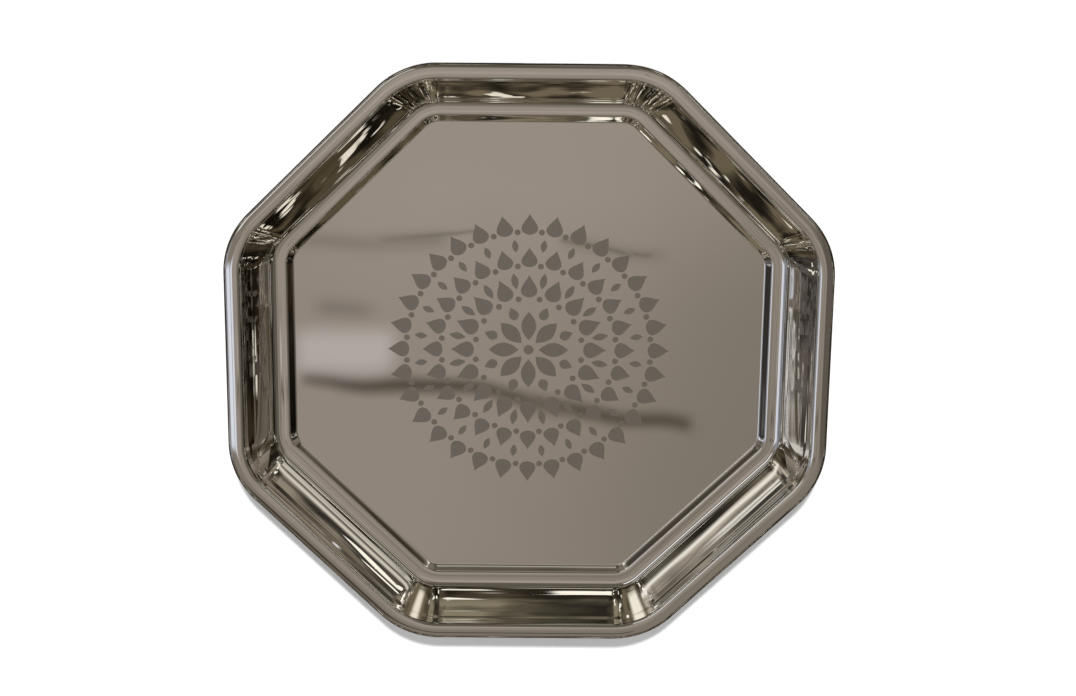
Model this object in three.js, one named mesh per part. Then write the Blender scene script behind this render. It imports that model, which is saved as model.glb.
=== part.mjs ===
// Steel dinner plate: a rounded octagon pressed from one sheet, its edge rolled under round a wire.
// Millimetres, +Z up. The origin is on the table at the middle of the flat underside, and two of the
// eight sides run along X.

import * as THREE from 'three';

const degrees = THREE.MathUtils.degToRad;

// Outline, seen from above
const sideCount = 8;
const acrossFlats = 300; // over the rolled edge, from side to side
const centreCornerRadius = 10; // of the flat centre, and the rest lies parallel to it

// Sheet, and the edge rolled round its wire
const sheetThickness = 0.8;
const wireDiameter = 1.8;
const wireClearance = 0.3; // free space all round the wire, inside the roll
const rollEnd = degrees(270); // where the roll stops, counted from the top over the outside

// Section, from the edge inwards: runs are level, drops are plumb, and heights are of the upper face
const plateHeight = 22;
const rimFall = degrees(14); // how far the rim tips down to the outside before it rolls under
const rimShoulderRun = 1.6; // from the wire's centre to the middle of the rim's crown
const rimInnerRun = 4.2;
const upperWallRun = 8.2;
const upperWallDrop = 11.3;
const lowerWallRun = 6.6;
const ledgeRun = 6.5;
const stepRun = 3.6;
const stepDrop = 2.4;

// Bends, as the radius on the tight side of the sheet
const rimCrownBend = 12;
const rimInnerBend = 2.6;
const wallBend = 90;
const ledgeBend = 6;
const stepTopBend = 1.4;
const stepFootBend = 1.6;

// Fineness of the facets
const cornerStep = degrees(7.5); // round a corner, seen from above
const bendStep = degrees(14); // round a bend of the section
const rollStep = degrees(20); // round the roll
const wireStep = degrees(30); // round the wire

// Looks
const polishedSteel = { color: 0xb9b2a8, roughness: 0.08, metalness: 1 };
const drawnWire = { color: 0x8c8a87, roughness: 0.35, metalness: 1 };

const rollRadius = wireDiameter / 2 + wireClearance + sheetThickness;
const crownInset = rollRadius + rimShoulderRun;
const rimInnerInset = crownInset + rimInnerRun;
const wallBendInset = rimInnerInset + upperWallRun;
const wallFootInset = wallBendInset + lowerWallRun;
const stepTopInset = wallFootInset + ledgeRun;
const stepFootInset = stepTopInset + stepRun;
const ledgeHeight = sheetThickness + stepDrop;

// The corners of every ring share their centres, so a reach is a distance from those centres
const outerCornerRadius = centreCornerRadius + stepFootInset;
const reachAt = (inset) => outerCornerRadius - inset;
const rollFall = (rollRadius + rimShoulderRun * Math.sin(rimFall)) / Math.cos(rimFall);
const rollCentre = new THREE.Vector2(reachAt(rollRadius), plateHeight - rollFall);

// A point on a circle, with the angle counted from straight up towards the outside
function onCircle(centre, radius, angle) {
  return new THREE.Vector2(Math.sin(angle), Math.cos(angle)).multiplyScalar(radius).add(centre);
}

// Equal steps over an angle, none wider than the fineness asked for, with both ends
function anglesOver(from, to, fineness) {
  const count = Math.max(1, Math.ceil(Math.abs(to - from) / fineness));
  return Array.from({ length: count + 1 }, (_, i) => from + ((to - from) * i) / count);
}

// How a run of straight lines turns at each inner corner, and how far from it the bend would start.
// The upper face is the wide side of a bend that turns down.
function turnsOf(corners) {
  return corners.map((corner, i) => {
    if (i === 0 || i === corners.length - 1) return { tangent: 0 };
    const heading = corner.point.clone().sub(corners[i - 1].point).normalize();
    const leaving = corners[i + 1].point.clone().sub(corner.point).normalize();
    const turn = Math.atan2(heading.cross(leaving), heading.dot(leaving));
    const radius = turn < 0 ? corner.bend + sheetThickness : corner.bend;
    return { heading, turn, radius, tangent: radius * Math.tan(Math.abs(turn) / 2) };
  });
}

// The bends of such a run, as points with their outward normals. Two bends that are too wide for the
// line between them are made tighter.
function bentRun(corners) {
  const turns = turnsOf(corners);
  const room = (i) => {
    const length = corners[i].point.distanceTo(corners[i + 1].point);
    return Math.min(1, length / (turns[i].tangent + turns[i + 1].tangent));
  };
  return corners.slice(1, -1).flatMap(({ point }, before) => {
    const { heading, turn, radius, tangent } = turns[before + 1];
    const fit = Math.min(room(before), room(before + 1));
    const toCentre = Math.sign(turn) * radius * fit;
    const start = point.clone().addScaledVector(heading, -tangent * fit);
    const startNormal = new THREE.Vector2(-heading.y, heading.x);
    const centre = start.addScaledVector(startNormal, toCentre);
    return anglesOver(0, turn, bendStep).map((angle) => {
      const normal = startNormal.clone().rotateAround(new THREE.Vector2(), angle);
      return { point: centre.clone().addScaledVector(normal, -toCentre), normal };
    });
  });
}

// The upper face of the sheet from the flat centre to the end of the roll
function upperFace() {
  const at = (inset, height, bend) => ({ point: new THREE.Vector2(reachAt(inset), height), bend });
  const corners = [
    at(stepFootInset + centreCornerRadius, sheetThickness),
    at(stepFootInset, sheetThickness, stepFootBend),
    at(stepTopInset, ledgeHeight, stepTopBend),
    at(wallFootInset, ledgeHeight, ledgeBend),
    at(wallBendInset, plateHeight - upperWallDrop, wallBend),
    at(rimInnerInset, plateHeight, rimInnerBend),
    at(crownInset, plateHeight, rimCrownBend),
    { point: onCircle(rollCentre, rollRadius, rimFall) },
  ];
  const outermost = degrees(90);
  const rollAngles = [
    ...anglesOver(rimFall, outermost, rollStep),
    ...anglesOver(outermost, rollEnd, rollStep).slice(1),
  ];
  const roll = rollAngles.map((angle) => ({
    point: onCircle(rollCentre, rollRadius, angle),
    normal: onCircle(new THREE.Vector2(), 1, angle),
  }));
  return [...bentRun(corners), ...roll];
}

// Out along the upper face, round the end of the roll and back along the underside
function sheetSection() {
  const upper = upperFace();
  const under = upper.map(({ point, normal }) => point.clone().addScaledVector(normal, -sheetThickness));
  return [...upper.map(({ point }) => point), ...under.reverse()];
}

function wireSection() {
  const angles = anglesOver(0, degrees(360), wireStep).slice(1);
  return angles.map((angle) => onCircle(rollCentre, wireDiameter / 2, angle));
}

// Where the outline is cut: the corner's centre and the direction to the edge, anticlockwise
function outlineStations() {
  const sideTurn = degrees(360) / sideCount;
  const centreReach = (acrossFlats / 2 - outerCornerRadius) / Math.cos(sideTurn / 2);
  return Array.from({ length: sideCount }).flatMap((_, side) => {
    const from = side * sideTurn;
    const middle = from + sideTurn / 2;
    const centre = new THREE.Vector2(Math.cos(middle), Math.sin(middle)).multiplyScalar(centreReach);
    return anglesOver(from, from + sideTurn, cornerStep).map((angle) => ({
      centre,
      heading: new THREE.Vector2(Math.cos(angle), Math.sin(angle)),
    }));
  });
}

// Sweeps a section round the outline. A closed section makes a ring, and an open one is closed by a
// flat face across each end.
function sweptRound(section, closed) {
  const stations = outlineStations();
  const count = stations.length;
  const positions = section.flatMap(({ x: reach, y: height }) =>
    stations.flatMap(({ centre, heading }) => [
      centre.x + reach * heading.x,
      centre.y + reach * heading.y,
      height,
    ]),
  );
  const triangles = [];
  const bandCount = closed ? section.length : section.length - 1;
  for (let band = 0; band < bandCount; band += 1) {
    const inner = band * count;
    const outer = ((band + 1) % section.length) * count;
    for (let i = 0; i < count; i += 1) {
      const next = (i + 1) % count;
      triangles.push([inner + i, outer + i, outer + next], [inner + i, outer + next, inner + next]);
    }
  }
  if (!closed) {
    const last = (section.length - 1) * count;
    const ring = (start) => stations.map((_, i) => new THREE.Vector2().fromArray(positions, 3 * (start + i)));
    const filled = (start) => THREE.ShapeUtils.triangulateShape(ring(start), []);
    filled(0).forEach(([a, b, c]) => triangles.push([a, b, c]));
    filled(last).forEach(([a, b, c]) => triangles.push([last + a, last + c, last + b]));
  }
  const geometry = new THREE.BufferGeometry();
  geometry.setAttribute('position', new THREE.Float32BufferAttribute(positions, 3));
  geometry.setIndex(triangles.flat());
  geometry.computeVertexNormals();
  return geometry;
}

function named(name, geometry, look) {
  const mesh = new THREE.Mesh(geometry, new THREE.MeshStandardMaterial(look));
  mesh.name = name;
  return mesh;
}

const plate = new THREE.Group();
plate.name = 'steel_dinner_plate';
plate.add(
  named('plate_pressing', sweptRound(sheetSection(), false), polishedSteel),
  named('rim_wire', sweptRound(wireSection(), true), drawnWire),
);

export default plate;
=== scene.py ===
import math

import bmesh
import bpy
from mathutils import Matrix, Vector, geometry, kdtree


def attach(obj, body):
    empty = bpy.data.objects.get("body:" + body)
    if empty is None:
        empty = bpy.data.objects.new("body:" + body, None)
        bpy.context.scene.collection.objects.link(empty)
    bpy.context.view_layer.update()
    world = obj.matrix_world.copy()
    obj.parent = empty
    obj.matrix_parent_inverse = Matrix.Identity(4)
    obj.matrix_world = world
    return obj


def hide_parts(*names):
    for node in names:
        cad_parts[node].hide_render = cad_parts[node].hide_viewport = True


# Octagonal steel dinner plate: its looks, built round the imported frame. Lengths are in metres.
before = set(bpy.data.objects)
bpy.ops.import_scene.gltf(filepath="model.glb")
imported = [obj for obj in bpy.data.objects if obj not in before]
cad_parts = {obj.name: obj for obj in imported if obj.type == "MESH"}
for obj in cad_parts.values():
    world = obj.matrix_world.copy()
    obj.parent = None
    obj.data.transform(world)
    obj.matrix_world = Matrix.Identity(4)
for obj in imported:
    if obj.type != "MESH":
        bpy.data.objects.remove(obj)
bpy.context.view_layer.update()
mm = 0.001
print("frame:", ", ".join(sorted(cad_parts)))


class Wire:
    # One output in a node tree. Arithmetic on it adds the Math nodes that it needs.
    def __init__(self, graph, socket):
        self.graph, self.socket = graph, socket

    def __getitem__(self, output):
        return Wire(self.graph, self.socket.node.outputs[output])

    def __add__(self, other):
        return self.graph.maths("ADD", self, other)

    def __radd__(self, other):
        return self.graph.maths("ADD", other, self)

    def __sub__(self, other):
        return self.graph.maths("SUBTRACT", self, other)

    def __rsub__(self, other):
        return self.graph.maths("SUBTRACT", other, self)

    def __mul__(self, other):
        return self.graph.maths("MULTIPLY", self, other)

    def __truediv__(self, other):
        return self.graph.maths("DIVIDE", self, other)

    def __rtruediv__(self, other):
        return self.graph.maths("DIVIDE", other, self)

    def __pow__(self, other):
        return self.graph.maths("POWER", self, other)

    def __abs__(self):
        return self.graph.maths("ABSOLUTE", self)


class Graph:
    def __init__(self, tree):
        self.tree = tree
        tree.nodes.clear()

    # Adds one node: its settings first, then the values or links of its sockets
    def node(self, kind, settings=None, sockets=None):
        made = self.tree.nodes.new(kind)
        row, column = divmod(len(self.tree.nodes), 12)
        made.location = (240 * column, -260 * row)
        for name, value in (settings or {}).items():
            setattr(made, name, value)
        for name, value in (sockets or {}).items():
            if isinstance(value, Wire):
                self.tree.links.new(value.socket, made.inputs[name])
            else:
                made.inputs[name].default_value = value
        return Wire(self, made.outputs[0]) if made.outputs else None

    def maths(self, operation, *values):
        return self.node("ShaderNodeMath", {"operation": operation}, dict(enumerate(values)))

    def vector(self, operation, *values):
        return self.node("ShaderNodeVectorMath", {"operation": operation}, dict(enumerate(values)))

    # Goes smoothly from 0 at start to 1 at end
    def rise(self, value, start, end):
        return self.node("ShaderNodeMapRange", {"interpolation_type": "SMOOTHSTEP"},
                         {"Value": value, "From Min": start, "From Max": end})

    def blend(self, share, first, second):
        return self.node("ShaderNodeMix", {"data_type": "RGBA"}, {0: share, 6: first, 7: second})[2]


def newTree(name, inputs):
    tree = bpy.data.node_groups.new(name, "GeometryNodeTree")
    tree.interface.new_socket("Geometry", in_out="OUTPUT", socket_type="NodeSocketGeometry")
    for label, kind in inputs.items():
        tree.interface.new_socket(label, in_out="INPUT", socket_type="NodeSocket" + kind)
    graph = Graph(tree)
    return graph, graph.node("NodeGroupInput")


# Every tree ends this way
def endTree(graph, shape, *coats):
    shape = graph.node("GeometryNodeRealizeInstances", None, {"Geometry": shape})
    for material, selection in coats:
        shape = graph.node("GeometryNodeSetMaterial", None,
                           {"Geometry": shape, "Selection": selection, "Material": material})
    graph.node("NodeGroupOutput", None, {0: shape})
    return graph.tree


# Runs a tree with these values on a mesh, or on none, and returns the result as a plain mesh
def grown(name, tree, values, start=None):
    holder = bpy.data.objects.new(name, start or bpy.data.meshes.new(name))
    bpy.context.scene.collection.objects.link(holder)
    modifier = holder.modifiers.new(name, "NODES")
    modifier.node_group = tree
    for item in tree.interface.items_tree:
        if item.in_out == "INPUT" and item.name in values:
            modifier[item.identifier] = values[item.name]
    mesh = bpy.data.meshes.new_from_object(
        holder.evaluated_get(bpy.context.evaluated_depsgraph_get()))
    bpy.data.objects.remove(holder)
    return mesh


def addObject(name, data):
    made = bpy.data.objects.new(name, data)
    bpy.context.scene.collection.objects.link(made)
    return made


plate = {
    "sides": 8,
    "acrossFlats": 300 * mm,
    "centreCornerRadius": 10 * mm,
    "sheet": 0.8 * mm,
    "height": 22 * mm,
    "rimFall": 14,  # degrees that the rim tips down to the outside
    "crownRun": 1.6 * mm,  # from the wire's centre to the middle of the rim's crown
    # inwards from the crown: level run, drop, and the bend at the end of it
    "lines": [(4.2 * mm, 0, 2.6 * mm), (8.2 * mm, 11.3 * mm, 90 * mm), (6.6 * mm, 7.5 * mm, 6 * mm),
              (6.5 * mm, 0, 1.4 * mm), (3.6 * mm, 2.4 * mm, 1.6 * mm)],
    "crownBend": 12 * mm,  # the rim's own roundness
    "wire": 1.8 * mm,  # its diameter
    "wireClearance": 0.3 * mm,  # between the wire and the sheet rolled round it
    "rollEnd": 270,  # degrees from the top over the outside
    "cornerSteps": 12,  # facets round a corner
    "sideSteps": 24,  # parts of a straight side
    "upperStep": 4,  # degrees of bend for one facet
    "underStep": 12,
    "upperLine": 0.3 * mm,  # length of a facet where the section is straight
    "underLine": 4 * mm,
    # slight rings left by the forming: how far apart and how high, and their phase
    "rings": [(3.1 * mm, 0.005 * mm, 0), (6.3 * mm, 0.014 * mm, 1.3)],
    "ringStart": 7 * mm,  # they reach their full height this far out from the flat centre's edge
    "ringFade": 2 * mm,  # and fade over this length at the roll
    # how far before the flat centre's edge the section has points
    "flatLead": (0.9 * mm, 0.6 * mm, 0.3 * mm, 0.1 * mm),
    # fine grooves: how far inwards from the edge, how deep and how wide
    "grooves": [(2.7 * mm, 0.05 * mm, 0.45 * mm), (6 * mm, 0.03 * mm, 0.4 * mm),
                (26.8 * mm, 0.045 * mm, 0.5 * mm)],
    "weld": 0.002 * mm,  # points nearer than this become one
    "sharpAngle": 40,  # degrees; the shading breaks where faces meet at more than this
    "wireStep": 22.5,  # degrees of the wire's roundness for one facet
}
rollRadius = plate["wire"] / 2 + plate["wireClearance"] + plate["sheet"]
footInset = rollRadius + plate["crownRun"] + sum(run for run, _, _ in plate["lines"])
edgeReach = plate["centreCornerRadius"] + footInset
fall = math.radians(plate["rimFall"])
rollDrop = (rollRadius + plate["crownRun"] * math.sin(fall)) / math.cos(fall)
rollCentre = Vector((edgeReach - rollRadius, plate["height"] - rollDrop))


def clockPoint(centre, radius, angle):
    return centre + radius * Vector((math.sin(angle), math.cos(angle)))


def evenSteps(start, end, step):
    count = max(1, math.ceil(abs(end - start) / step - 1e-6))
    return [start + (end - start) * i / count for i in range(count + 1)]


# The upper face's lines meet at these points, from the flat centre to the roll, each with its bend
def sectionCorners():
    corner = Vector((edgeReach - rollRadius - plate["crownRun"], plate["height"]))
    corners = [(clockPoint(rollCentre, rollRadius, fall), 0), (corner, plate["crownBend"])]
    for run, drop, bend in plate["lines"]:
        corner = corner - Vector((run, drop))
        corners.append((corner, bend))
    corners.append((corner - Vector((plate["centreCornerRadius"], 0)), 0))
    return corners[::-1]


# Points of the upper face with their outward normals, out from the flat centre and round the roll
def upperFace(bendStep, lineStep):
    corners = sectionCorners()
    bends = []
    for (before, _), (here, bend), (after, _) in zip(corners, corners[1:], corners[2:]):
        heading, leaving = (here - before).normalized(), (after - here).normalized()
        turn = math.atan2(heading.cross(leaving), heading.dot(leaving))
        radius = bend + plate["sheet"] if turn < 0 else bend
        bends.append((here, heading, turn, radius, radius * math.tan(abs(turn) / 2)))
    reach = [0] + [bend[4] for bend in bends] + [0]
    points = [corner for corner, _ in corners]
    # a bend is drawn smaller where its line is too short for it
    space = [min(1, (b - a).length / (reach[i] + reach[i + 1]))
             for i, (a, b) in enumerate(zip(points, points[1:]))]
    face = []
    for i, (here, heading, turn, radius, tangent) in enumerate(bends):
        fit = min(space[i], space[i + 1])
        across = Vector((-heading.y, heading.x))
        middle = here - heading * tangent * fit + across * math.copysign(radius * fit, turn)
        arc = []
        for angle in evenSteps(0, turn, bendStep):
            normal = Matrix.Rotation(angle, 2) @ across
            arc.append((middle - normal * math.copysign(radius * fit, turn), normal))
        face += lineBetween(face, arc[0], lineStep) + arc
    angles = evenSteps(fall, math.pi / 2, 2 * bendStep)
    angles += evenSteps(math.pi / 2, math.radians(plate["rollEnd"]), 2 * bendStep)[1:]
    roll = [(clockPoint(rollCentre, rollRadius, angle), clockPoint(Vector((0, 0)), 1, angle))
            for angle in angles]
    return face + lineBetween(face, roll[0], lineStep) + roll


# Points on the line that leads to an end point. The first line is the flat centre's, and of that
# only the last bit is drawn.
def lineBetween(face, end, lineStep):
    if not face:
        return [(end[0] - Vector((lead, 0)), end[1]) for lead in plate["flatLead"]]
    length = (end[0] - face[-1][0]).length
    shares = evenSteps(0, 1, lineStep / max(length, mm))[1:-1]
    return [(face[-1][0].lerp(end[0], share), end[1]) for share in shares]


# The forming's rings and the grooves, on the upper face between the flat centre and the roll
def ringed(face):
    length, raised = 0, []
    for i, (point, normal) in enumerate(face):
        length += (point - face[i - 1][0]).length if i else 0
        fade = min(1, length / plate["ringStart"],
                   max(0, (rollCentre.x - point.x) / plate["ringFade"]))
        if point.y < rollCentre.y and point.x > rollCentre.x - rollRadius:
            fade = 0
        fade *= fade * (3 - 2 * fade)
        lift = fade * sum(high * (math.sin(2 * math.pi * length / apart + start) - 1)
                          for apart, high, start in plate["rings"])
        if normal.y > 0:
            lift -= sum(deep * math.exp(-((edgeReach - point.x - inset) / wide) ** 2)
                        for inset, deep, wide in plate["grooves"])
        raised.append(point + normal * lift)
    return raised


# Out along the upper face, round the end of the roll, and back along the underside
def sheetSection():
    upper = ringed(upperFace(math.radians(plate["upperStep"]), plate["upperLine"]))
    under = [point - normal * plate["sheet"]
             for point, normal in upperFace(math.radians(plate["underStep"]), plate["underLine"])]
    return upper + under[::-1]


# Curve to Mesh lays a profile's Y downwards, so heights are turned over here
def sectionCurve(name, points, closed=False):
    curve = bpy.data.curves.new(name, "CURVE")
    curve.dimensions = "3D"
    spline = curve.splines.new("POLY")
    spline.points.add(len(points) - 1)
    for slot, point in zip(spline.points, points):
        slot.co = (point.x - plate["centreCornerRadius"], -point.y, 0, 1)
    spline.use_cyclic_u = closed
    return addObject(name, curve)


def sweepTree():
    graph, given = newTree("sweptRing", {
        "Section": "Object", "Sides": "Int", "Across": "Float", "Corner Radius": "Float",
        "Corner Steps": "Int", "Side Steps": "Int", "Material": "Material"})
    halfTurn = math.pi / given["Sides"]
    circle = graph.node("GeometryNodeCurvePrimitiveCircle", {"mode": "RADIUS"}, {
        "Resolution": given["Sides"],
        "Radius": given["Across"] / 2 / graph.maths("COSINE", halfTurn)})
    turned = graph.node("GeometryNodeTransform", None, {
        "Geometry": circle, "Rotation": graph.node("ShaderNodeCombineXYZ", None, {"Z": halfTurn})})
    rounded = graph.node("GeometryNodeFilletCurve", {"mode": "POLY"}, {
        "Curve": turned, "Count": given["Corner Steps"], "Radius": given["Corner Radius"]})
    # the last point of each corner starts a straight side
    place = graph.node("GeometryNodeInputIndex")
    step = graph.maths("MODULO", place, given["Corner Steps"] + 1)
    onSide = graph.maths("COMPARE", step, given["Corner Steps"], 0.5)
    outline = graph.node("GeometryNodeSubdivideCurve", None, {
        "Curve": rounded, "Cuts": onSide * (given["Side Steps"] - 1)})
    section = graph.node("GeometryNodeObjectInfo", None, {"Object": given["Section"]})
    swept = graph.node("GeometryNodeCurveToMesh", None, {
        "Curve": outline, "Profile Curve": section["Geometry"]})
    return endTree(graph, swept, (given["Material"], True))


def sweep(name, tree, section, material):
    mesh = grown(name, tree, {
        "Section": section, "Sides": plate["sides"],
        "Across": plate["acrossFlats"] - 2 * footInset,
        "Corner Radius": plate["centreCornerRadius"], "Corner Steps": plate["cornerSteps"],
        "Side Steps": plate["sideSteps"], "Material": material})
    bpy.data.objects.remove(section)
    return mesh


# One ring of etched motifs: each an oval whose two ends can be drawn out to points
def motifTree():
    graph, given = newTree("motifRing", {
        "Count": "Int", "Ring Radius": "Float", "Length": "Float", "Width": "Float",
        "Outer Point": "Float", "Inner Point": "Float", "Turn": "Float", "Points": "Int",
        "Material": "Material"})
    disc = graph.node("GeometryNodeMeshCircle", {"fill_type": "NGON"},
                      {"Vertices": given["Points"], "Radius": 1.0})
    at = graph.node("ShaderNodeSeparateXYZ", None, {0: graph.node("GeometryNodeInputPosition")})
    outward = graph.maths("MAXIMUM", 1 - at["X"], 0.0) ** given["Outer Point"]
    inward = graph.maths("MAXIMUM", 1 + at["X"], 0.0) ** given["Inner Point"]
    shaped = graph.node("GeometryNodeSetPosition", None, {
        "Geometry": disc, "Position": graph.node("ShaderNodeCombineXYZ", None, {
            "X": at["X"] * given["Length"] / 2,
            "Y": at["Y"] * given["Width"] / 2 * outward * inward})})
    angle = (graph.node("GeometryNodeInputIndex") + given["Turn"]) * (2 * math.pi) / given["Count"]
    places = graph.node("GeometryNodePoints", None, {
        "Count": given["Count"], "Position": graph.node("ShaderNodeCombineXYZ", None, {
            "X": graph.maths("COSINE", angle) * given["Ring Radius"],
            "Y": graph.maths("SINE", angle) * given["Ring Radius"]})})
    ring = graph.node("GeometryNodeInstanceOnPoints", None, {
        "Points": places, "Instance": shaped,
        "Rotation": graph.node("ShaderNodeCombineXYZ", None, {"Z": angle})})
    return endTree(graph, ring, (given["Material"], True))


rosette = {
    "grid": 3.5 * mm,  # spacing of the flat centre's own points
    "rowStep": 0.866,  # distance of their rows, as a share of the spacing
    "clearance": 0.5,  # how far they keep from an outline, as a share of the spacing
    "closest": 0.02 * mm,  # an outline's points keep at least this distance
    "points": 32,  # of one motif's outline
    # count, ring radius, length and width in mm, how drawn out its outer and its inner end are,
    # and the turn in shares of a step
    "rings": [
        (1, 0, 5, 5, 0, 0, 0),
        (8, 12.5, 15, 7.5, 0.6, 0.6, 0),
        (8, 20.5, 7, 4.6, 0.7, 0.2, 0.5),
        (16, 27, 3, 3, 0, 0, 0.5),
        (16, 33.5, 12, 6.8, 1, 0.1, 0),
        (16, 36.5, 8.5, 3.6, 0.6, 0.6, 0.5),
        (24, 44, 3, 3, 0, 0, 0.5),
        (24, 48.5, 10.5, 6.6, 1, 0.1, 0),
        (24, 54.5, 6.5, 3.2, 0.6, 0.6, 0.5),
        (32, 61.5, 3, 3, 0, 0, 0.5),
        (32, 65.5, 11, 6.8, 1, 0.1, 0),
    ],
}


def motifOutlines(material):
    tree = motifTree()
    outlines = []
    for count, radius, length, width, outerPoint, innerPoint, turn in rosette["rings"]:
        mesh = grown("motifRing", tree, {
            "Count": count, "Ring Radius": radius * mm, "Length": length * mm,
            "Width": width * mm, "Outer Point": outerPoint, "Inner Point": innerPoint,
            "Turn": turn, "Points": rosette["points"], "Material": material})
        for face in mesh.polygons:
            outlines.append([mesh.vertices[i].co.to_2d() for i in face.vertices])
        bpy.data.meshes.remove(mesh)
    return outlines


# Fills a flat ring of points with triangles, with the outlines cut in. Returns the points, the
# triangles and for each triangle whether it lies in an outline.
def filledFlat(ring, outlines):
    spacing, rowStep, closest = rosette["grid"], rosette["rowStep"], rosette["closest"]
    points, faces = list(ring), [list(range(len(ring)))]
    for outline in outlines:
        kept = [p for i, p in enumerate(outline) if (p - outline[i - 1]).length > closest]
        faces.append(list(range(len(points), len(points) + len(kept))))
        points += kept
    fixed = kdtree.KDTree(len(points))
    for i, p in enumerate(points):
        fixed.insert(p.to_3d(), i)
    fixed.balance()
    width = max(p.x for p in ring)
    rows = int(width / spacing / rowStep) + 1
    for row in range(-rows, rows + 1):
        for column in range(-rows, rows + 1):
            spot = Vector(((column + 0.5 * (row % 2)) * spacing, row * spacing * rowStep))
            clear = fixed.find(spot.to_3d())[2] > rosette["clearance"] * spacing
            if octagonReach(spot) < width and clear:
                points.append(spot)
    points, _, triangles, _, _, sources = geometry.delaunay_2d_cdt(points, [], faces, 1, 1e-9)
    return points, triangles, [max(source) > 0 for source in sources]


# How far out a point is, counted square to the side that it faces
def octagonReach(spot):
    turn = 2 * math.pi / plate["sides"]
    side = round(math.atan2(spot.y, spot.x) / turn) * turn
    return spot.dot(Vector((math.cos(side), math.sin(side))))


# The swept sheet has a ring of open edges at the flat centre's upper face and one below it.
# Both are filled here, the upper one with the etched outlines, and the shell is closed.
def closedPlate(mesh, outlines):
    shell = bmesh.new()
    shell.from_mesh(mesh)
    etched = shell.faces.layers.bool.new("etched")
    openEnds = {v for e in shell.edges if e.is_boundary for v in e.verts}
    middle = plate["sheet"] / 2
    for cut, ring in ((outlines, [v for v in openEnds if v.co.z > middle]),
                      ([], [v for v in openEnds if v.co.z <= middle])):
        height = ring[0].co.z
        ring.sort(key=lambda v: math.atan2(v.co.y, v.co.x))
        points, triangles, inside = filledFlat([v.co.to_2d() for v in ring], cut)
        added = [shell.verts.new((*p, height)) for p in points]
        for triangle, isEtched in zip(triangles, inside):
            shell.faces.new([added[i] for i in triangle])[etched] = isEtched
    bmesh.ops.remove_doubles(shell, verts=shell.verts, dist=plate["weld"])
    bmesh.ops.recalc_face_normals(shell, faces=shell.faces)
    for face in shell.faces:
        face.smooth = True
    shell.to_mesh(mesh)
    shell.free()
    return mesh


# Slight waves of a sheet that was pressed and polished by hand. The rolled edge is left true.
waves = {
    "height": 0.07 * mm, "spacing": 60 * mm,  # over the whole plate
    "wallHeight": 0.06 * mm, "wallSpacing": 6 * mm,  # on the walls, by height
    "wallLengths": 4,  # how many of the walls' waves follow each other for a radian of the plate
    "wallFrom": 1.4 * mm,  # the walls' waves start at this height, and are full at twice that
    "calmAbove": 18 * mm,  # no waves from here up
    "calmStart": 0.75,  # where they start to fade, as a share of that height
    "seed": 4,
}


def waveTree():
    graph, given = newTree("handFinish", {
        "Plate": "Geometry", "Wave Height": "Float", "Wave Spacing": "Float",
        "Wall Wave Height": "Float", "Wall Wave Spacing": "Float", "Wall Wave Lengths": "Float",
        "Seed": "Float", "Calm Above": "Float", "Calm Start": "Float", "Wall From": "Float",
        "Polished": "Material", "Etched": "Material"})
    place = graph.node("GeometryNodeInputPosition")
    at = graph.node("ShaderNodeSeparateXYZ", None, {0: place})
    level = graph.node("ShaderNodeCombineXYZ", None, {
        "X": at["X"], "Y": at["Y"], "Z": given["Seed"]})
    broad = graph.node("ShaderNodeTexNoise", {"noise_dimensions": "3D"}, {
        "Vector": level, "Scale": 1 / given["Wave Spacing"], "Detail": 0.0})
    climb = graph.node("ShaderNodeCombineXYZ", None, {"Z": at["Z"] / given["Wall Wave Spacing"]})
    ring = graph.node("ShaderNodeVectorMath", {"operation": "SCALE"}, {
        0: graph.vector("NORMALIZE", graph.vector("MULTIPLY", place, (1, 1, 0))),
        "Scale": given["Wall Wave Lengths"]})
    fine = graph.node("ShaderNodeTexNoise", {"noise_dimensions": "3D"}, {
        "Vector": graph.vector("ADD", ring, climb), "Scale": 1.0, "Detail": 0.0})
    onWall = graph.rise(at["Z"], given["Wall From"], given["Wall From"] * 2)
    calm = graph.rise(at["Z"], given["Calm Above"], given["Calm Above"] * given["Calm Start"])
    lift = (broad * given["Wave Height"] + fine * onWall * given["Wall Wave Height"]) * calm
    waved = graph.node("GeometryNodeSetPosition", None, {
        "Geometry": given["Plate"],
        "Offset": graph.node("ShaderNodeCombineXYZ", None, {"Z": lift})})
    isEtched = graph.node("GeometryNodeInputNamedAttribute", {"data_type": "BOOLEAN"}, {
        "Name": "etched"})
    return endTree(graph, waved, (given["Polished"], True), (given["Etched"], isEtched))


def newMaterial(name):
    material = bpy.data.materials.new(name)
    material.use_nodes = True
    return material, Graph(material.node_tree)


# Ends a material's tree with a bare metal of this look
def asMetal(material, graph, look):
    shader = graph.node("ShaderNodeBsdfPrincipled", None, {"Metallic": 1.0, **look})
    graph.node("ShaderNodeOutputMaterial", None, {"Surface": shader})
    return material


steel = {
    "colour": (0.72, 0.70, 0.67),
    "warmer": (0.735, 0.71, 0.67),
    "cloud": 14,  # clouds in the polish for each metre
    "roughness": 0.012, "smudges": 0.022, "marks": 0.03,
    "marksAcross": 1900, "marksAlong": 26,  # fine marks of the cloth for each metre
    "marksTurn": 0.5,  # radians
    # the noises' values where the warmer colour, the smudges and the marks start and are full
    "warmerRange": (0.35, 0.65), "smudgeRange": (0.5, 0.72), "markRange": (0.66, 0.78),
}


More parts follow.
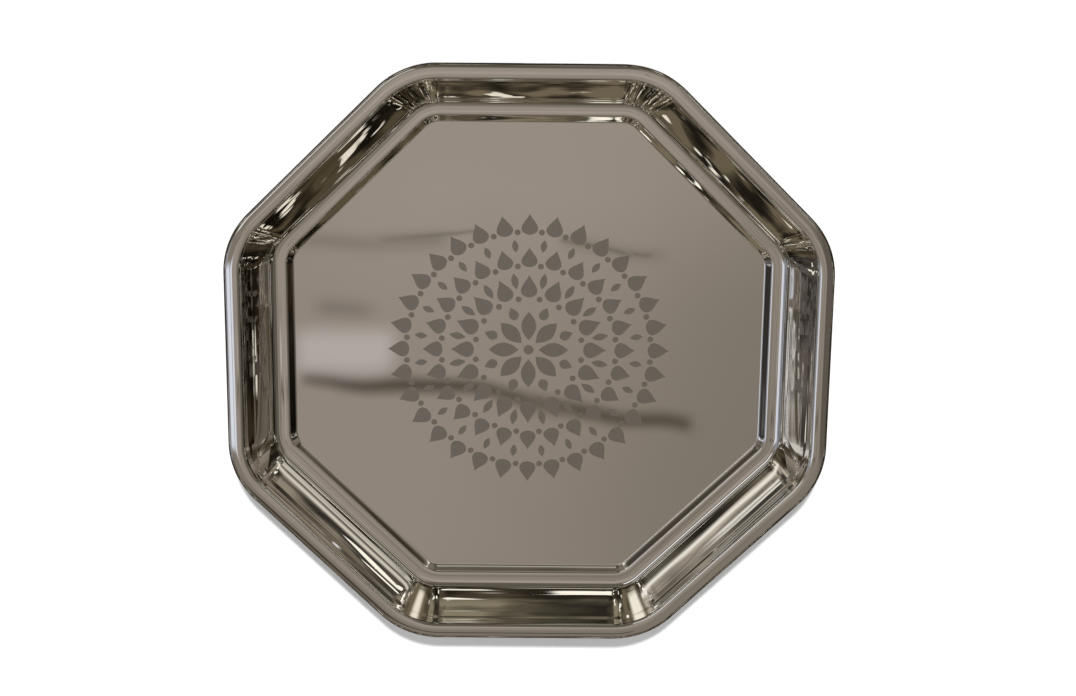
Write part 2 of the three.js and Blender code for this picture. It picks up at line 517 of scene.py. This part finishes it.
def polishedSteel():
    material, graph = newMaterial("polishedSteel")
    place = graph.node("ShaderNodeTexCoord")["Object"]
    clouds = graph.node("ShaderNodeTexNoise", None, {
        "Vector": place, "Scale": steel["cloud"], "Detail": 3.0})
    across, along = steel["marksAcross"], steel["marksAlong"]
    turned = graph.node("ShaderNodeMapping", None, {
        0: place, "Rotation": (0, 0, steel["marksTurn"])})
    cloth = graph.node("ShaderNodeTexNoise", None, {
        "Vector": graph.vector("MULTIPLY", turned, (along, across, along)),
        "Scale": 1.0, "Detail": 1.0})
    smudges = graph.rise(clouds, *steel["smudgeRange"])
    marks = graph.rise(cloth, *steel["markRange"])
    warmth = graph.rise(clouds, *steel["warmerRange"])
    return asMetal(material, graph, {
        "Base Color": graph.blend(warmth, (*steel["colour"], 1), (*steel["warmer"], 1)),
        "Roughness": steel["roughness"] + smudges * steel["smudges"] + marks * steel["marks"]})


etching = {
    "dark": (0.41, 0.388, 0.357), "light": (0.485, 0.46, 0.426),
    "grain": 2600,  # grains for each metre
    "lightRange": (0.3, 0.7),  # the grain's values where the light colour starts and is full
    "roughness": 0.36, "unevenness": 0.12,
    "depth": 0.01 * mm, "strength": 0.4,  # of the grain's bump
}


def etchedSteel():
    material, graph = newMaterial("etchedSteel")
    place = graph.node("ShaderNodeTexCoord")["Object"]
    grain = graph.node("ShaderNodeTexNoise", None, {
        "Vector": place, "Scale": etching["grain"], "Detail": 2.0})
    bump = graph.node("ShaderNodeBump", None, {
        "Height": grain, "Strength": etching["strength"], "Distance": etching["depth"]})
    lightness = graph.rise(grain, *etching["lightRange"])
    return asMetal(material, graph, {
        "Base Color": graph.blend(lightness, (*etching["dark"], 1), (*etching["light"], 1)),
        "Roughness": etching["roughness"] + grain * etching["unevenness"],
        "Normal": bump})


wire = {
    "dark": (0.47, 0.46, 0.45), "light": (0.6, 0.59, 0.58),
    "drawMarks": 1400,  # marks of the drawing for each metre
    "lightRange": (0.3, 0.7),
    "roughness": 0.3, "unevenness": 0.15,
}


# The marks lie along the wire, so they follow only its height and its distance from the middle
def drawnWire():
    material, graph = newMaterial("drawnWire")
    place = graph.node("ShaderNodeTexCoord")["Object"]
    at = graph.node("ShaderNodeSeparateXYZ", None, {0: place})
    level = graph.node("ShaderNodeVectorMath", {"operation": "LENGTH"}, {
        0: graph.vector("MULTIPLY", place, (1, 1, 0))})["Value"]
    marks = graph.node("ShaderNodeTexNoise", None, {
        "Vector": graph.node("ShaderNodeCombineXYZ", None, {"X": level, "Y": at["Z"]}),
        "Scale": wire["drawMarks"], "Detail": 2.0})
    lightness = graph.rise(marks, *wire["lightRange"])
    return asMetal(material, graph, {
        "Base Color": graph.blend(lightness, (*wire["dark"], 1), (*wire["light"], 1)),
        "Roughness": wire["roughness"] + marks * wire["unevenness"]})


polished, etched, wireSteel = polishedSteel(), etchedSteel(), drawnWire()
sweeper = sweepTree()
swept = sweep("sweptSheet", sweeper, sectionCurve("sheetSection", sheetSection()), polished)
print("sheet swept:", len(swept.polygons), "faces")
closed = closedPlate(swept, motifOutlines(etched))
plateMesh = grown("plate_shell", waveTree(), {
    "Wave Height": waves["height"], "Wave Spacing": waves["spacing"],
    "Wall Wave Height": waves["wallHeight"], "Wall Wave Spacing": waves["wallSpacing"],
    "Wall Wave Lengths": float(waves["wallLengths"]), "Seed": float(waves["seed"]),
    "Calm Above": waves["calmAbove"], "Calm Start": waves["calmStart"],
    "Wall From": waves["wallFrom"], "Polished": polished, "Etched": etched}, closed)
plateMesh.set_sharp_from_angle(angle=math.radians(plate["sharpAngle"]))
shell = addObject("plate_shell", plateMesh)
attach(shell, "root")
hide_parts("plate_pressing")
print("plate:", sum(len(p.vertices) - 2 for p in plateMesh.polygons), "triangles")

wireTurns = evenSteps(0, 2 * math.pi, math.radians(plate["wireStep"]))[:-1]
wirePoints = [clockPoint(rollCentre, plate["wire"] / 2, angle) for angle in wireTurns]
wireMesh = sweep("edge_wire", sweeper, sectionCurve("wireSection", wirePoints, True), wireSteel)
edgeWire = addObject("edge_wire", wireMesh)
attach(edgeWire, "root")
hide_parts("rim_wire")
print("wire:", len(wireMesh.polygons), "faces")

view = {
    "tilt": 18.13,  # degrees from straight above, to the plate's far side
    "turn": -1.58,  # degrees round the upright
    "roll": 0.67,  # degrees round the camera's own line of sight
    "distance": 1200 * mm,
    "halfWidthPixels": 302.95,  # the plate's half width in the picture
    "centrePixels": (528.6, 363.1),  # where the aim lies in the picture
    "picture": (1076, 696),
    "aim": Vector((0, 0, 22 * mm)),
    "sensor": 36,
    "clip": (0.05, 50),  # the nearest and the farthest that it sees
}


def addCamera():
    tilt, turn, roll = (math.radians(view[key]) for key in ("tilt", "turn", "roll"))
    back = Vector((math.sin(tilt) * math.sin(turn), math.sin(tilt) * math.cos(turn),
                   math.cos(tilt)))
    level = (Vector((0, 1, 0)) - back * back.y).normalized()
    side = level.cross(back)
    right = side * math.cos(roll) + level * math.sin(roll)
    up = level * math.cos(roll) - side * math.sin(roll)
    width, height = view["picture"]
    pixel = plate["acrossFlats"] / 2 / view["halfWidthPixels"]
    across, down = view["centrePixels"]
    spot = view["aim"] + back * view["distance"]
    spot += right * (width / 2 - across) * pixel + up * (down - height / 2) * pixel
    camera = addObject("camera", bpy.data.cameras.new("camera"))
    camera.data.sensor_width = view["sensor"]
    camera.data.lens = view["sensor"] * view["distance"] / pixel / width
    camera.data.clip_start, camera.data.clip_end = view["clip"]
    turned = Matrix((right, up, back)).transposed().to_4x4()
    camera.matrix_world = Matrix.Translation(spot) @ turned
    bpy.context.scene.camera = camera


addCamera()
print("camera at", tuple(round(value, 3) for value in bpy.context.scene.camera.location))

# What the steel reflects: a ceiling with marks on it, and cards, streaks and lamps round the room.
# Colours are given as they look in the steel, from 0 to 255. A pair of degrees gives the
# elevations where something starts and where it is full.
room = {
    "upper": (72, 64, 50), "horizon": (-2, 2),
    "lower": (20, 16, 13), "ground": (150, 146, 140), "groundRange": (-30, -55),
    # round the room: azimuth, elevation, width, height and soft edge in degrees, and the colour
    "cards": [
        (90, 40, 190, 14, 3, (112, 104, 93)),
        (90, 50, 50, 10, 3, (74, 67, 56)),
        (90, 66, 210, 20, 3, (118, 110, 100)),
        (90, 68, 50, 26, 3, (92, 85, 75)),
        (270, 60, 160, 36, 3, (122, 114, 103)),
        (270, 39, 160, 8, 2, (96, 88, 77)),
        (250, 48.5, 60, 3, 1.5, (60, 53, 43)),
        (0, 25, 400, 11, 4, (44, 38, 29)),
        (200, 48, 34, 18, 3, (140, 141, 147)),
        (200, 33, 30, 12, 3, (96, 95, 97)),
        (200, 24, 30, 8, 3, (112, 109, 108)),
        (200, 18, 30, 6, 3, (72, 68, 66)),
        (200, 6, 30, 22, 2, (64, 58, 54)),
        (238, 17, 26, 30, 3, (80, 72, 58)),
        (270, 18, 26, 30, 3, (86, 78, 63)),
        (301, 14, 26, 20, 3, (58, 51, 38)),
        (301, 28, 26, 10, 3, (52, 45, 33)),
        (341, 20, 34, 36, 4, (34, 28, 20)),
        (337, 54, 40, 26, 4, (90, 84, 76)),
        (31, 6, 28, 14, 3, (106, 98, 86)),
        (31, 1, 28, 4, 1.5, (62, 55, 45)),
        (31, 23, 28, 20, 3, (38, 32, 23)),
        (90, 7, 28, 13, 3, (92, 85, 70)),
        (90, 27, 28, 28, 3, (44, 38, 29)),
        (148, 5, 28, 12, 3, (128, 120, 109)),
        (150, 19, 30, 16, 3, (66, 60, 51)),
        (150, 38, 30, 14, 3, (122, 115, 105)),
    ],
    # bare windows and lights, given in the same way
    "windows": [
        (60, 8, 9, 12, 3, (232, 222, 202)),
        (122, 8, 14, 11, 3, (238, 230, 212)),
        (148, 8, 26, 1.8, 1, (234, 228, 217)),
        (145, 4.5, 5, 0.8, 0.5, (236, 230, 220)),
        (31, 8, 14, 1.4, 1, (220, 212, 198)),
        (34, 11, 8, 1.4, 1, (200, 192, 178)),
        (150, 59, 66, 9, 2, (236, 234, 232)),
        (30, 60, 50, 3, 1.5, (190, 184, 175)),
        # bright and dark lines for the step
        (31, 43, 27, 2, 1, (226, 219, 207)),
        (31, 38, 27, 3, 1.5, (54, 47, 38)),
        (31, 34, 27, 1, 1, (176, 168, 154)),
        (90, 47, 27, 1.4, 1, (170, 162, 150)),
        (90, 42, 27, 4, 1.5, (46, 40, 31)),
        (148, 44, 27, 2.6, 1, (238, 234, 227)),
        (148, 39, 27, 3, 1.5, (64, 58, 50)),
        (148, 35, 27, 1, 1, (188, 181, 170)),
        (200, 31, 25, 1.6, 1, (222, 222, 228)),
        (200, 27, 25, 2, 1, (48, 45, 43)),
        (341, 30, 26, 1.2, 1, (150, 146, 139)),
    ],
    # patches on the side that the far walls mirror, long streaks elsewhere and longer ones for
    # the corners: how many follow each other over a radian, their height in degrees, and their
    # strength
    "patches": [(22, 7, 1), (44, 3.5, 1)],
    "streaks": [(7, 6, 0.9), (14, 3, 0.6), (40, 1.6, 0.5)],
    "cornerStreaks": [(1.5, 7, 1.2), (5, 12, 0.8)],
    "contrast": 7.5, "dimmest": 0.2, "brightest": 2.1, "mottledRange": (44, 24),
    # the cells are taller the higher they stand: degrees for which they grow by their own height,
    # and two numbers that keep the growth in bounds near the horizon
    "growth": 20, "growthStart": 1.25, "leastGrowth": 0.1,
    # sets of lamps: as above, and the noise's values where a lamp starts and is full
    "smallLamps": (50, 3, 0.61, 0.65),
    "longLamps": (12, 2, 0.6, 0.64),
    "cornerLamps": (6, 7, 0.66, 0.7),
    "lampColour": (253, 246, 230), "lampRange": (0, 4), "lampEnd": (36, 30),
    "patchEnd": (-0.7, -0.5),  # the level direction's Y where the patches give way to streaks
    # the azimuths that the straight sides look at, and how far to both sides; the corners see
    # what lies between them
    "sideAzimuths": (32, 90, 148, 200, 239, 270, 301, 341),
    "sideReach": (6, 18),
    "ceilingHeight": 2.4, "ceilingRange": (5, 10),
    "lowestRise": 0.05,  # of a ray to the ceiling
    "sway": (7, 0.028),  # how the ceiling's lines wander: waves for each metre, and their height
    # on the ceiling: across, along, width and depth in metres, turn in degrees, soft edge, colour
    "panels": [
        (0, -0.32, 1.6, 1.6, 0, 0.12, (143, 133, 123)),
        (0, -0.43, 1.6, 0.05, 2, 0.02, (80, 71, 60)),
        (0.36, -0.5, 0.05, 1.6, 1, 0.02, (80, 72, 62)),
        (-0.34, -0.2, 0.04, 0.8, -1, 0.02, (80, 72, 62)),
        (-1.15, -0.86, 1, 0.4, 6, 0.08, (212, 215, 224)),
        (-1.1, -0.86, 0.05, 0.5, 6, 0.02, (132, 128, 126)),
        (-0.3, -0.2, 0.5, 0.3, 0, 0.2, (178, 172, 170)),
        (0, -0.1, 1.2, 0.7, 0, 0.3, (158, 148, 137)),
        (-0.03, -0.62, 0.34, 0.14, 0, 0.12, (152, 142, 132)),
        (0.35, -1.0, 0.5, 0.5, 0, 0.25, (118, 110, 99)),
        (0.26, -0.8, 0.14, 0.24, 0, 0.1, (124, 116, 106)),
        (-0.02, -0.842, 0.41, 0.016, -7.5, 0.009, (84, 76, 66)),
        (-0.15, -0.674, 0.15, 0.01, 0, 0.014, (122, 114, 104)),
        (-0.09, -0.669, 0.1, 0.002, 2, 0.004, (102, 94, 84)),
        (0.1, -0.676, 0.1, 0.006, -9, 0.012, (124, 116, 106)),
        (0.09, -0.674, 0.09, 0.002, -10, 0.004, (102, 94, 84)),
        (-0.18, -0.744, 0.053, 0.012, 0, 0.014, (120, 112, 104)),
        (-0.181, -0.79, 0.097, 0.044, 0, 0.016, (174, 167, 162)),
    ],
}


# The light that looks like this colour in the polished steel. The numbers are the screen's curve.
def steelSees(colour):
    linear = [(c / 255 / 1.055 + 0.052) ** 2.4 for c in colour]
    return (*(value / tint for value, tint in zip(linear, steel["colour"])), 1)


# 1 inside a rectangle and 0 outside, with a soft edge
def softBox(graph, across, along, width, height, edge):
    return (graph.rise(abs(across), width / 2 + edge, width / 2 - edge)
            * graph.rise(abs(along), height / 2 + edge, height / 2 - edge))


# Noise in cells that stand round the room, taller the higher they are
def roundNoise(graph, level, elevation, lengths, height):
    growth = graph.maths("MAXIMUM", elevation / room["growth"] + room["growthStart"],
                         room["leastGrowth"])
    taller = graph.maths("LOGARITHM", growth, math.e)
    climb = graph.node("ShaderNodeCombineXYZ", None, {"Z": taller * room["growth"] / height})
    place = graph.vector("MULTIPLY_ADD", level, (lengths, lengths, lengths), climb)
    return graph.node("ShaderNodeTexNoise", None, {"Vector": place, "Scale": 1.0, "Detail": 2.0})


# 1 where a straight side looks, 0 where only a corner does
def sideShare(graph, level):
    share = 0.0
    near, far = (math.cos(math.radians(angle)) for angle in room["sideReach"])
    for azimuth in room["sideAzimuths"]:
        turn = math.radians(azimuth)
        toward = graph.node("ShaderNodeVectorMath", {"operation": "DOT_PRODUCT"}, {
            0: level, 1: (math.cos(turn), math.sin(turn), 0)})["Value"]
        share = graph.maths("MAXIMUM", graph.rise(toward, far, near), share)
    return share


# Lays soft cards over the light, by the ray's direction and its elevation
def withCards(graph, light, at, elevation, cards):
    for azimuth, height, width, tall, edge, colour in cards:
        turn = math.radians(azimuth)
        toward = at["X"] * math.cos(turn) + at["Y"] * math.sin(turn)
        side = at["Y"] * math.cos(turn) - at["X"] * math.sin(turn)
        across = graph.maths("ARCTAN2", side, toward) * math.degrees(1)
        mask = softBox(graph, across, elevation - height, width, tall, edge)
        mask = mask * graph.rise(elevation, *room["horizon"])
        light = graph.blend(mask, light, steelSees(colour))
    return light


# The cards with the noises' patches, streaks and lamps over them
def mottledLight(graph, light, level, elevation):
    toFar = graph.node("ShaderNodeSeparateXYZ", None, {0: level})["Y"]
    beyond = graph.rise(toFar, *room["patchEnd"])
    sides = sideShare(graph, level)
    shade, lamps = 0.0, 0.0
    for noises, lampNoise, share in ((room["patches"], room["smallLamps"], (1 - beyond) * sides),
                                     (room["streaks"], room["longLamps"], beyond * sides),
                                     (room["cornerStreaks"], room["cornerLamps"], 1 - sides)):
        for lengths, height, strength in noises:
            shade = roundNoise(graph, level, elevation, lengths, height) * strength * share + shade
        lengths, height, dim, bright = lampNoise
        lamp = graph.rise(roundNoise(graph, level, elevation, lengths, height), dim, bright)
        lamps = lamp * share + lamps
    contrast = graph.rise(elevation, *room["mottledRange"]) * room["contrast"]
    shade = graph.maths("MINIMUM", room["brightest"], shade ** contrast)
    shade = graph.maths("MAXIMUM", room["dimmest"], shade)
    mottled = graph.node("ShaderNodeVectorMath", {"operation": "SCALE"}, {0: light, "Scale": shade})
    lamps = lamps * graph.rise(elevation, *room["lampRange"])
    lamps = lamps * graph.rise(elevation, *room["lampEnd"])
    return graph.blend(lamps, mottled, steelSees(room["lampColour"]))


# The marks of the ceiling, where the ray meets it
def withCeiling(graph, light, at, elevation):
    rise = graph.maths("MAXIMUM", at["Z"], room["lowestRise"])
    spotX, spotY = (at[axis] / rise * room["ceilingHeight"] for axis in "XY")
    sway = graph.node("ShaderNodeTexNoise", {"noise_dimensions": "1D"}, {
        "W": spotX, "Scale": room["sway"][0], "Detail": 1.0})
    spotY = spotY + (sway - 0.5) * room["sway"][1]
    for x, y, width, depth, tilt, edge, colour in room["panels"]:
        turn = math.radians(tilt)
        across = (spotX - x) * math.cos(turn) + (spotY - y) * math.sin(turn)
        along = (spotY - y) * math.cos(turn) - (spotX - x) * math.sin(turn)
        mask = softBox(graph, across, along, width, depth, edge)
        mask = mask * graph.rise(elevation, *room["ceilingRange"])
        light = graph.blend(mask, light, steelSees(colour))
    return light


def roomLight(graph):
    rays = graph.node("ShaderNodeTexCoord")["Generated"]
    at = graph.node("ShaderNodeSeparateXYZ", None, {0: rays})
    elevation = graph.maths("ARCSINE", at["Z"]) * math.degrees(1)
    level = graph.vector("NORMALIZE", graph.vector("MULTIPLY", rays, (1, 1, 0)))
    light = graph.blend(graph.rise(elevation, *room["groundRange"]),
                        steelSees(room["lower"]), steelSees(room["ground"]))
    light = graph.blend(graph.rise(elevation, *room["horizon"]), light, steelSees(room["upper"]))
    light = withCards(graph, light, at, elevation, room["cards"])
    light = mottledLight(graph, light, level, elevation)
    light = withCards(graph, light, at, elevation, room["windows"])
    return withCeiling(graph, light, at, elevation)


studio = {
    "keyElevation": 54,  # degrees, from beyond the plate's far side
    "keyAzimuth": 90,
    "keySoftness": 5,
    "key": 3.2,
    "fill": 0.6,
    "backdrop": 0.96,
    "floorHalf": 3,  # metres from its middle to its edges
    "floorDrop": 0.05 * mm,
    "floorColour": (0.9, 0.9, 0.9),
}

floorMaterial, floorGraph = newMaterial("paleFloor")
floorGraph.node("ShaderNodeOutputMaterial", None, {"Surface": floorGraph.node(
    "ShaderNodeBsdfDiffuse", None, {"Color": (*studio["floorColour"], 1)})})
floorMesh = bpy.data.meshes.new("floor")
half = studio["floorHalf"]
floorMesh.from_pydata([(-half, -half, 0), (half, -half, 0), (half, half, 0), (-half, half, 0)],
                      [], [(0, 1, 2, 3)])
floorMesh.materials.append(floorMaterial)
floor = addObject("floor", floorMesh)
floor.location.z = -studio["floorDrop"]
floor.visible_glossy = False

key = addObject("keyLight", bpy.data.lights.new("keyLight", "SUN"))
key.data.energy = studio["key"]
key.data.angle = math.radians(studio["keySoftness"])
key.rotation_euler = (0, math.radians(90 - studio["keyElevation"]),
                      math.radians(studio["keyAzimuth"]))
key.visible_glossy = False

scene = bpy.context.scene
scene.view_settings.view_transform = "Standard"
scene.world = bpy.data.worlds.new("studio")
scene.world.use_nodes = True
scene.world.cycles.sampling_method = "NONE"
sky = Graph(scene.world.node_tree)
rayKind = sky.node("ShaderNodeLightPath")
fill = sky.node("ShaderNodeBackground", None, {"Color": (1, 1, 1, 1), "Strength": studio["fill"]})
backdrop = sky.node("ShaderNodeBackground", None, {
    "Color": (1, 1, 1, 1), "Strength": studio["backdrop"]})
mirrored = sky.node("ShaderNodeBackground", None, {"Color": roomLight(sky), "Strength": 1.0})
plain = sky.node("ShaderNodeMixShader", None, {0: rayKind["Is Camera Ray"], 1: fill, 2: backdrop})
sky.node("ShaderNodeOutputWorld", None, {"Surface": sky.node(
    "ShaderNodeMixShader", None, {0: rayKind["Is Glossy Ray"], 1: plain, 2: mirrored})})

print("room:", len(room["cards"] + room["windows"]), "cards,", len(room["panels"]), "ceiling marks")
